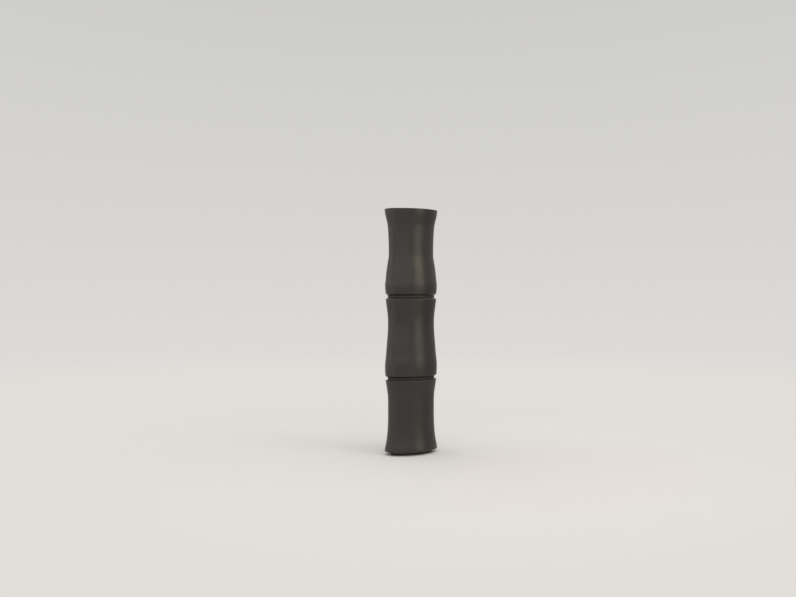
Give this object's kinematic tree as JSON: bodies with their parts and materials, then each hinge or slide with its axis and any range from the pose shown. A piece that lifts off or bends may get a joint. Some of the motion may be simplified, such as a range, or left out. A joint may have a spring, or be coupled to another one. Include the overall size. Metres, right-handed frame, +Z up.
{
  "type": "bamboo vase",
  "caption": "Tall oval vase in bamboo-like stacked sections with grooved node joints, a flared mouth, a weighted foot and a lift-out water liner.",
  "frame": {"origin": "centre of the foot's underside, on the surface the vase stands on", "axes": "+Z up the vase, +X along the long way of the oval, -Y the front"},
  "size_m": [0.0834, 0.051, 0.35],
  "materials": {
    "charcoal_lacquer": "satin charcoal lacquer on moulded resin",
    "ring_lacquer": "satin charcoal lacquer",
    "black_plastic": "moulded, fine grain",
    "foot_rubber": "matt",
    "zinc_steel": "zinc plated",
    "ballast_iron": "as cast",
    "liner_steel": "satin"
  },
  "bodies": {
    "vase": {"top_section": "charcoal_lacquer", "middle_section": "charcoal_lacquer", "bottom_section": "charcoal_lacquer", "upper_node_ring": "ring_lacquer", "lower_node_ring": "ring_lacquer", "base_plate": "black_plastic", "foot_pad": "foot_rubber", "shell_screws": "zinc_steel", "ballast_screws": "zinc_steel", "ballast": "ballast_iron", "liner_seat": "foot_rubber"},
    "liner": {"liner": "liner_steel"}
  },
  "joints": [
    {"name": "liner_lift", "type": "slide", "parent": "vase", "child": "liner", "axis": [0, 0, 1], "range_m": [0, 0.335]}
  ]
}
